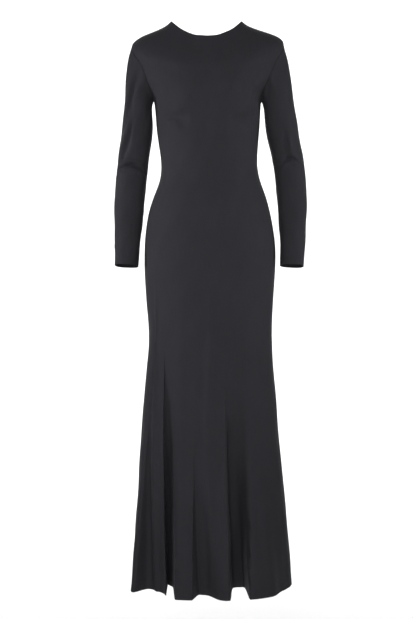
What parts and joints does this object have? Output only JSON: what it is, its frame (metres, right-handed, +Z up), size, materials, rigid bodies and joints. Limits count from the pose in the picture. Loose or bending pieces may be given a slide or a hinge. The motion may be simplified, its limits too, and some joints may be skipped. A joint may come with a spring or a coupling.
{
  "type": "maxi dress",
  "caption": "Long-sleeved fitted maxi dress in soft black jersey, with a wide round neck and a flared hem that hangs in deep upright folds; hollow, filled out as worn.",
  "frame": {"origin": "midway between the shoulders at the height of the shoulder seams, inside the yoke, where the wearer's shoulders carry the dress", "axes": "+X towards the wearer's left, +Y towards the back, +Z up; the front of the dress faces -Y"},
  "size_m": [0.5011, 0.323, 1.4631],
  "materials": {
    "jersey": "matte knit with a soft sheen at grazing angles"
  },
  "bodies": {
    "root": {"front": "jersey", "back": "jersey", "sleeve_left": "jersey", "sleeve_right": "jersey"}
  },
  "joints": []
}
